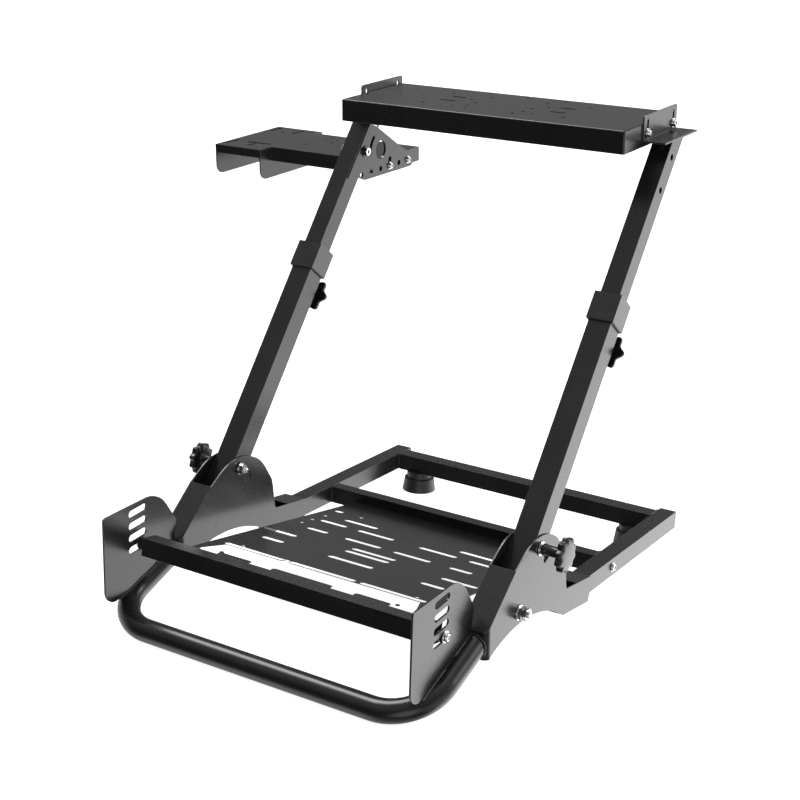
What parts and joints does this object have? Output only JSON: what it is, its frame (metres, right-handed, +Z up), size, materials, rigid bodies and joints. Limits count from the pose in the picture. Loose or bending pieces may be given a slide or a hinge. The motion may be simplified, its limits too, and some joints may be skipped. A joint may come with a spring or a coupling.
{
  "type": "racing wheel stand",
  "caption": "Black steel stand for a driving game's steering wheel: a leaning, telescopic frame with a slotted pedal plate and a side tray for a gear shifter.",
  "frame": {"origin": "on the floor under the middle of the whole stand's box, from the shifter tray's left edge to the right knob and from the front tube to the rail ends", "axes": "+Z up, +Y from the front tube to the driver's side at the rear, +X to the right seen from the front tube, so the shifter tray is at -X"},
  "size_m": [0.8674, 0.8033, 0.7301],
  "materials": {
    "black_coat": "satin powder coat",
    "black_plastic": "matte moulded",
    "zinc_plate": "bright plated",
    "black_rubber": "matte"
  },
  "bodies": {
    "base": {"front_tube": "black_coat", "rear_crossbar": "black_coat", "mid_crossbar": "black_coat", "pedal_bar": "black_coat", "pedal_plate": "black_coat", "left_bracket": "black_coat", "left_arm_cover": "black_coat", "left_rail": "black_coat", "left_rail_cap": "black_plastic", "left_foot": "black_rubber", "left_wing": "black_coat", "left_pedal_bolt": "zinc_plate", "left_pivot_bolt": "zinc_plate", "right_bracket": "black_coat", "right_arm_cover": "black_coat", "right_rail": "black_coat", "right_rail_cap": "black_plastic", "right_foot": "black_rubber", "right_wing": "black_coat", "right_pedal_bolt": "zinc_plate", "right_pivot_bolt": "zinc_plate"},
    "uprights": {"left_lower_tube": "black_coat", "left_collar": "black_plastic", "left_lean_bolt": "zinc_plate", "right_lower_tube": "black_coat", "right_collar": "black_plastic", "right_lean_bolt": "zinc_plate"},
    "head": {"wheel_plate": "black_coat", "shifter_gusset": "black_coat", "shifter_arm": "black_coat", "shifter_tray": "black_coat", "left_upper_tube": "black_coat", "left_head_bracket": "black_coat", "right_upper_tube": "black_coat", "right_head_bracket": "black_coat"},
    "left_lean_knob": {"left_lean_knob": "black_plastic"},
    "left_height_knob": {"left_height_knob": "black_plastic"},
    "right_lean_knob": {"right_lean_knob": "black_plastic"},
    "right_height_knob": {"right_height_knob": "black_plastic"}
  },
  "joints": [
    {"name": "lean", "type": "hinge", "parent": "base", "child": "uprights", "pos_m": [0.1137, -0.1647, 0.0933], "axis": [-1, 0, 0], "range_deg": [-4, 17]},
    {"name": "height", "type": "slide", "parent": "uprights", "child": "head", "axis": [0, 0.5807, 0.8141], "range_m": [-0.1, 0.1]},
    {"name": "left_lean_knob_turn", "type": "hinge", "parent": "uprights", "child": "left_lean_knob", "pos_m": [-0.1863, -0.11127, 0.1682], "axis": [-1, 0, 0], "continuous": true},
    {"name": "left_height_knob_turn", "type": "hinge", "parent": "uprights", "child": "left_height_knob", "pos_m": [-0.1431, 0.09201, 0.40153], "axis": [0, 0.8141, -0.5807], "continuous": true},
    {"name": "right_lean_knob_turn", "type": "hinge", "parent": "uprights", "child": "right_lean_knob", "pos_m": [0.4137, -0.11127, 0.1682], "axis": [1, 0, 0], "continuous": true},
    {"name": "right_height_knob_turn", "type": "hinge", "parent": "uprights", "child": "right_height_knob", "pos_m": [0.3705, 0.09201, 0.40153], "axis": [0, 0.8141, -0.5807], "continuous": true}
  ]
}
